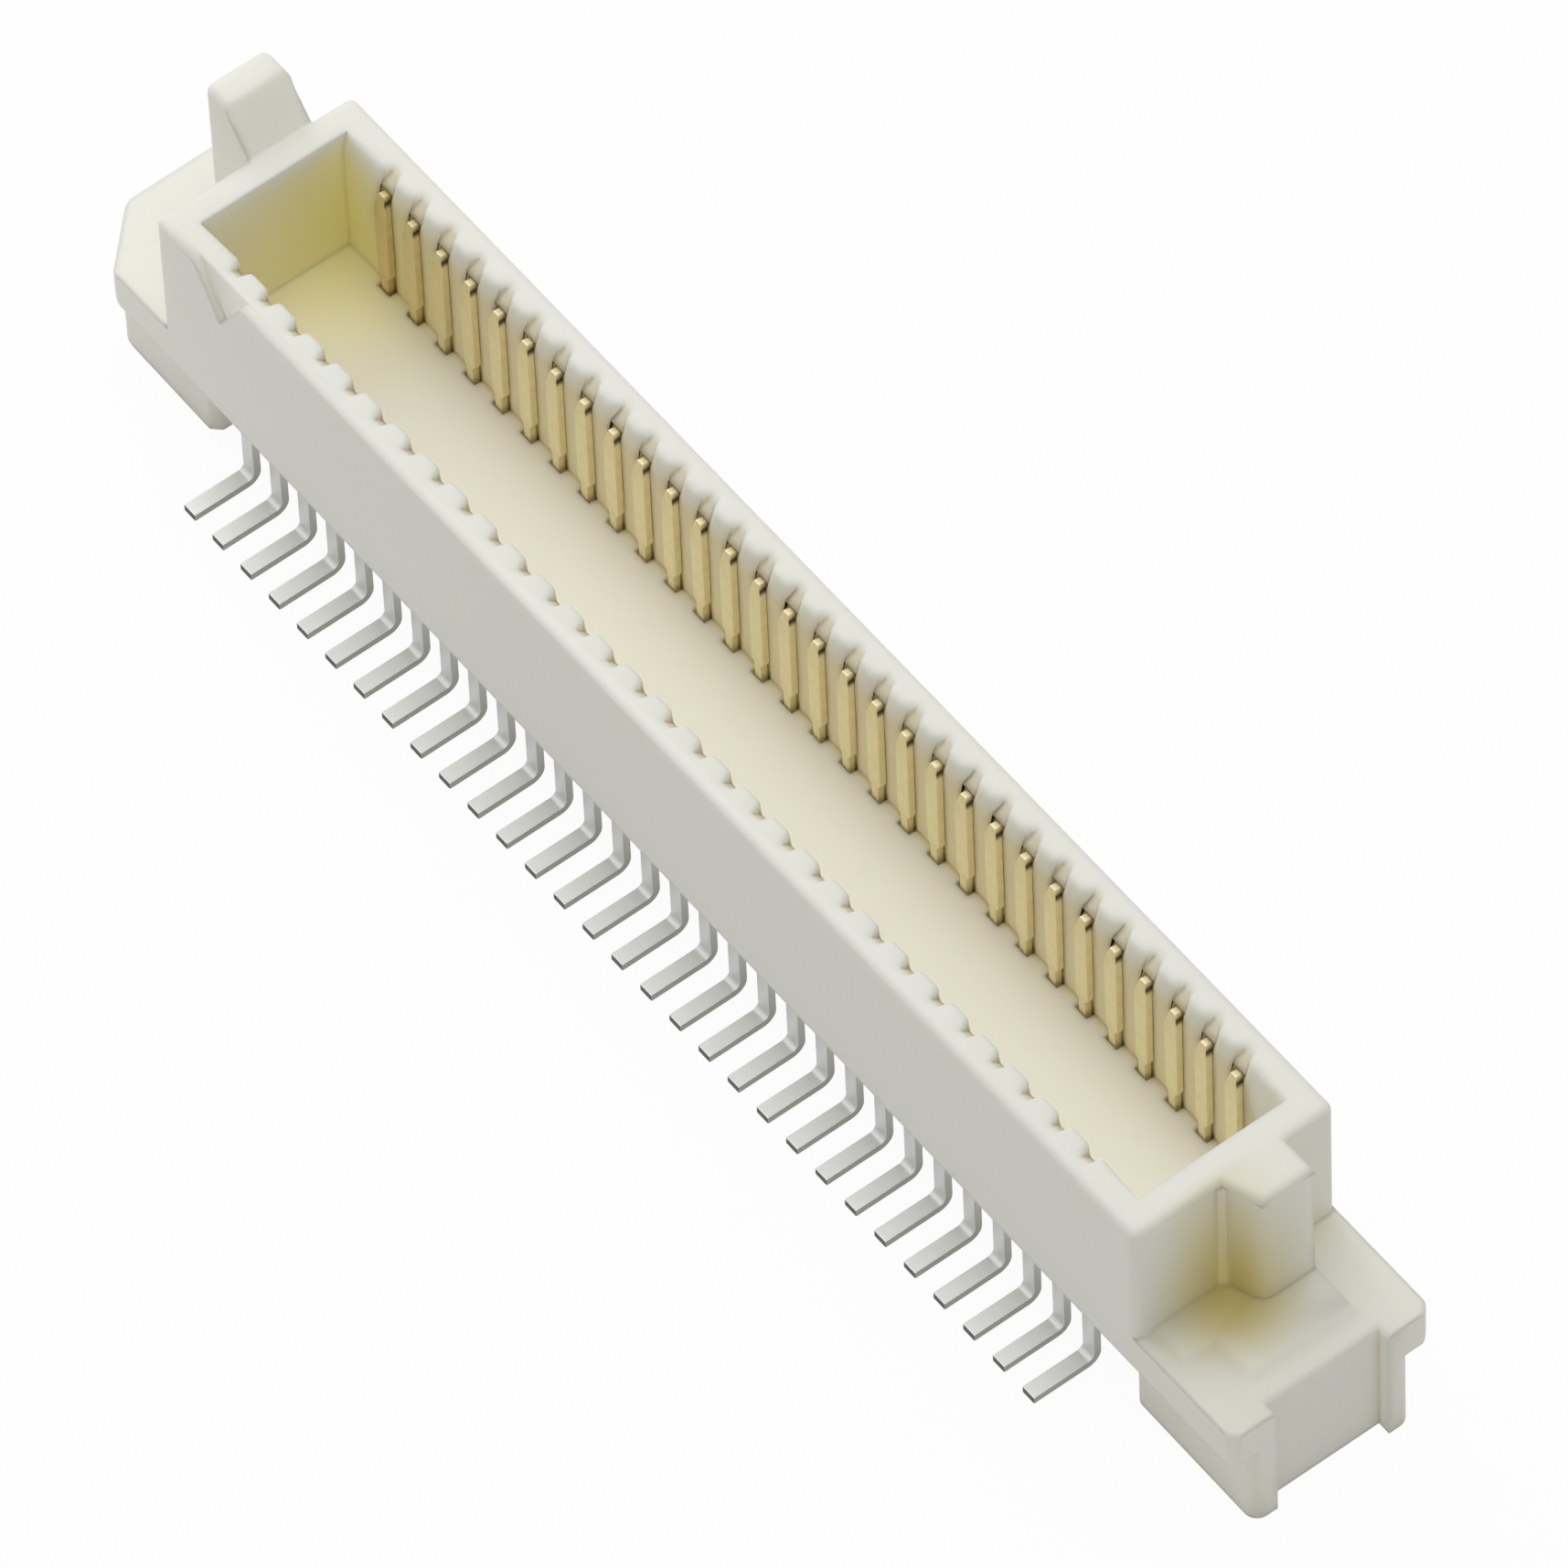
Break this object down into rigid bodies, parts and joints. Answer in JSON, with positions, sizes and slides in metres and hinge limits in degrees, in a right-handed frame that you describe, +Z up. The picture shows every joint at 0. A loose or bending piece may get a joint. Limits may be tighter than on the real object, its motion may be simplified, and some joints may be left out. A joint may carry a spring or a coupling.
{
  "type": "pin header connector",
  "caption": "Fine-pitch surface-mount pin header with contacts along both inner walls of an open shroud and a locating tab.",
  "frame": {"origin": "on the circuit board, under the middle of the two rows of contacts", "axes": "+X along the rows, from the end with the locating tab to the end with the recess, +Y across the rows, +Z up from the board"},
  "size_m": [0.0238, 0.0046, 0.0051],
  "materials": {
    "moulding": "satin moulded",
    "contact": "plated"
  },
  "bodies": {
    "root": {"housing": "moulding", "contact_pair_01": "contact", "contact_pair_02": "contact", "contact_pair_03": "contact", "contact_pair_04": "contact", "contact_pair_05": "contact", "contact_pair_06": "contact", "contact_pair_07": "contact", "contact_pair_08": "contact", "contact_pair_09": "contact", "contact_pair_10": "contact", "contact_pair_11": "contact", "contact_pair_12": "contact", "contact_pair_13": "contact", "contact_pair_14": "contact", "contact_pair_15": "contact", "contact_pair_16": "contact", "contact_pair_17": "contact", "contact_pair_18": "contact", "contact_pair_19": "contact", "contact_pair_20": "contact", "contact_pair_21": "contact", "contact_pair_22": "contact", "contact_pair_23": "contact", "contact_pair_24": "contact", "contact_pair_25": "contact", "contact_pair_26": "contact", "contact_pair_27": "contact", "contact_pair_28": "contact", "contact_pair_29": "contact", "contact_pair_30": "contact"}
  },
  "joints": []
}
